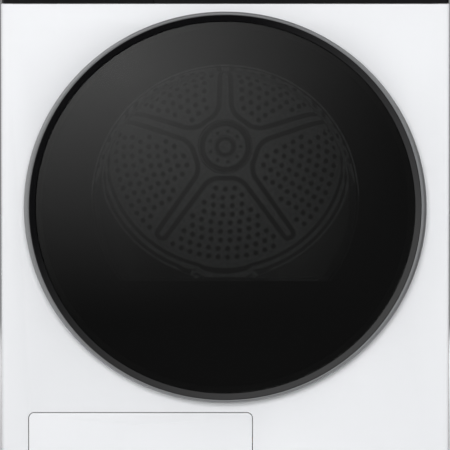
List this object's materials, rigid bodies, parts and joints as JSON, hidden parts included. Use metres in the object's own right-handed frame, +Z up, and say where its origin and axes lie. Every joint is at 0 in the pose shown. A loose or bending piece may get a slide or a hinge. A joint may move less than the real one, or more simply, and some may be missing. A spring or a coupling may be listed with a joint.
{
  "type": "clothes dryer",
  "caption": "Front-loading heat pump clothes dryer with a round tinted glass door, a pull-out water tank and a service flap.",
  "frame": {"origin": "on the floor under the centre of the overall box, door and rear fittings included", "axes": "+Z up, the front with the door faces -Y, +X to the right seen from the front"},
  "size_m": [0.6, 0.66, 0.85],
  "materials": {
    "white_enamel": "smooth stoved enamel",
    "white_laminate": "fine pebbled laminate",
    "white_plastic": "moulded, satin gloss",
    "zinc_sheet": "galvanised, spangled",
    "black_gloss": "polished",
    "black_satin": "fine grain",
    "ring_grey": "satin metallic lacquer",
    "tinted_glass": "smoked, polished",
    "clear_window": "clear, polished",
    "grey_moulding": "fine grain",
    "light_moulding": "fine grain",
    "lifter_plastic": "satin",
    "milky_plastic": "blow-moulded, milky",
    "filter_moulding": "satin, with fine mesh",
    "lever_yellow": "moulded",
    "knob_silver": "satin metallic",
    "button_grey": "satin",
    "board_green": "solder-masked board and dark display",
    "lamp_lens": "frosted",
    "drum_steel": "rolled stainless sheet",
    "turned_steel": "machined",
    "fin_aluminium": "thin rolled fins",
    "cast_housing": "die-cast",
    "black_enamel": "baked enamel",
    "copper": "drawn tube",
    "bearing_bronze": "sintered",
    "black_rubber": "moulded",
    "grey_rubber": "moulded",
    "hose_grey": "smooth hose",
    "tan_felt": "pressed felt"
  },
  "bodies": {
    "cabinet": {"side_panel_left": "white_enamel", "side_panel_right": "white_enamel", "rear_panel": "zinc_sheet", "front_panel": "white_enamel", "worktop": "white_laminate", "base_tub": "grey_moulding", "levelling_feet": "black_rubber", "control_fascia": "black_gloss", "control_board": "board_green", "tank_tray": "light_moulding", "front_bulkhead": "light_moulding", "front_seal": "tan_felt", "drum_lamp": "lamp_lens", "filter_duct": "light_moulding", "rear_duct": "zinc_sheet", "rear_bearing": "bearing_bronze", "roller_pins": "turned_steel", "drive_belt": "black_rubber", "motor_body": "cast_housing", "idler_spring": "turned_steel", "blower_housing": "light_moulding", "evaporator": "fin_aluminium", "condenser": "fin_aluminium", "compressor": "black_enamel", "refrigerant_pipes": "copper", "duct_cover": "light_moulding", "service_lid": "light_moulding", "condensate_pump": "grey_moulding", "drain_hose": "hose_grey", "mains_inlet": "black_satin", "hinge_base": "turned_steel", "door_catch": "black_satin"},
    "drum": {"drum_shell": "drum_steel", "drum_front_ring": "drum_steel", "drum_back": "drum_steel", "drum_lifters": "lifter_plastic", "drum_shaft": "turned_steel"},
    "left_roller": {"roller_left": "black_rubber"},
    "right_roller": {"roller_right": "black_rubber"},
    "motor_rotor": {"motor_shaft": "turned_steel", "blower_wheel": "black_satin"},
    "tensioner": {"idler_arm": "turned_steel"},
    "tensioner_wheel": {"idler_pulley": "black_satin"},
    "water_drawer": {"tank_front": "black_gloss", "tank_body": "milky_plastic"},
    "filter": {"lint_filter": "filter_moulding"},
    "door": {"door_ring": "ring_grey", "door_bezel": "black_gloss", "door_glass": "tinted_glass", "door_frame": "black_satin", "door_window": "clear_window", "door_seal": "grey_rubber", "hinge_arm": "turned_steel", "door_hook": "turned_steel"},
    "flap": {"service_flap": "white_plastic"},
    "left_lever": {"lid_lever_left": "lever_yellow"},
    "right_lever": {"lid_lever_right": "lever_yellow"},
    "selector": {"selector_knob": "knob_silver"},
    "power": {"power_button": "button_grey"},
    "start": {"start_button": "button_grey"}
  },
  "joints": [
    {"name": "door_swing", "type": "hinge", "parent": "cabinet", "child": "door", "pos_m": [0.258, -0.304, 0.448], "axis": [0, 0, 1], "range_deg": [0, 115]},
    {"name": "drum_spin", "type": "hinge", "parent": "cabinet", "child": "drum", "pos_m": [0, 0, 0.529], "axis": [0, 1, 0], "continuous": true},
    {"name": "left_roller_spin", "type": "hinge", "parent": "cabinet", "child": "left_roller", "pos_m": [-0.10568, -0.2, 0.34597], "axis": [0, 1, 0], "continuous": true},
    {"name": "right_roller_spin", "type": "hinge", "parent": "cabinet", "child": "right_roller", "pos_m": [0.10568, -0.2, 0.34597], "axis": [0, 1, 0], "continuous": true},
    {"name": "motor_spin", "type": "hinge", "parent": "cabinet", "child": "motor_rotor", "pos_m": [0.15, 0, 0.13], "axis": [0, 1, 0], "continuous": true},
    {"name": "tensioner_swing", "type": "hinge", "parent": "cabinet", "child": "tensioner", "pos_m": [0.095, 0, 0.1], "axis": [0, 1, 0], "range_deg": [-8, 0], "stiffness_Nm_per_rad": 2, "springref_deg": 14.32, "deforming": ["idler_spring"]},
    {"name": "tensioner_wheel_spin", "type": "hinge", "parent": "tensioner", "child": "tensioner_wheel", "pos_m": [0.05304, 0.02, 0.15799], "axis": [0, 1, 0], "continuous": true},
    {"name": "water_drawer_slide", "type": "slide", "parent": "cabinet", "child": "water_drawer", "axis": [0, -1, 0], "range_m": [0, 0.34]},
    {"name": "filter_lift", "type": "slide", "parent": "cabinet", "child": "filter", "axis": [0, 0, 1], "range_m": [0, 0.125]},
    {"name": "flap_swing", "type": "hinge", "parent": "cabinet", "child": "flap", "pos_m": [-0.1135, -0.2814, 0.0397], "axis": [1, 0, 0], "range_deg": [0, 88]},
    {"name": "left_lever_turn", "type": "hinge", "parent": "cabinet", "child": "left_lever", "pos_m": [-0.24, -0.264, 0.11], "axis": [0, 1, 0], "range_deg": [0, 90]},
    {"name": "right_lever_turn", "type": "hinge", "parent": "cabinet", "child": "right_lever", "pos_m": [-0.042, -0.264, 0.11], "axis": [0, 1, 0], "range_deg": [0, 90]},
    {"name": "selector_turn", "type": "hinge", "parent": "cabinet", "child": "selector", "pos_m": [0.02, -0.295, 0.77], "axis": [0, -1, 0], "continuous": true},
    {"name": "power_press", "type": "slide", "parent": "cabinet", "child": "power", "axis": [0, 1, 0], "range_m": [0, 0.0015], "stiffness_N_per_m": 400},
    {"name": "start_press", "type": "slide", "parent": "cabinet", "child": "start", "axis": [0, 1, 0], "range_m": [0, 0.0015], "stiffness_N_per_m": 400}
  ],
  "couplings": [
    {"joint": "left_roller_spin", "follows": "drum_spin", "ratio": -8.5909},
    {"joint": "right_roller_spin", "follows": "drum_spin", "ratio": -8.5909},
    {"joint": "motor_spin", "follows": "drum_spin", "ratio": 28.1},
    {"joint": "tensioner_wheel_spin", "follows": "drum_spin", "ratio": -12.773}
  ]
}
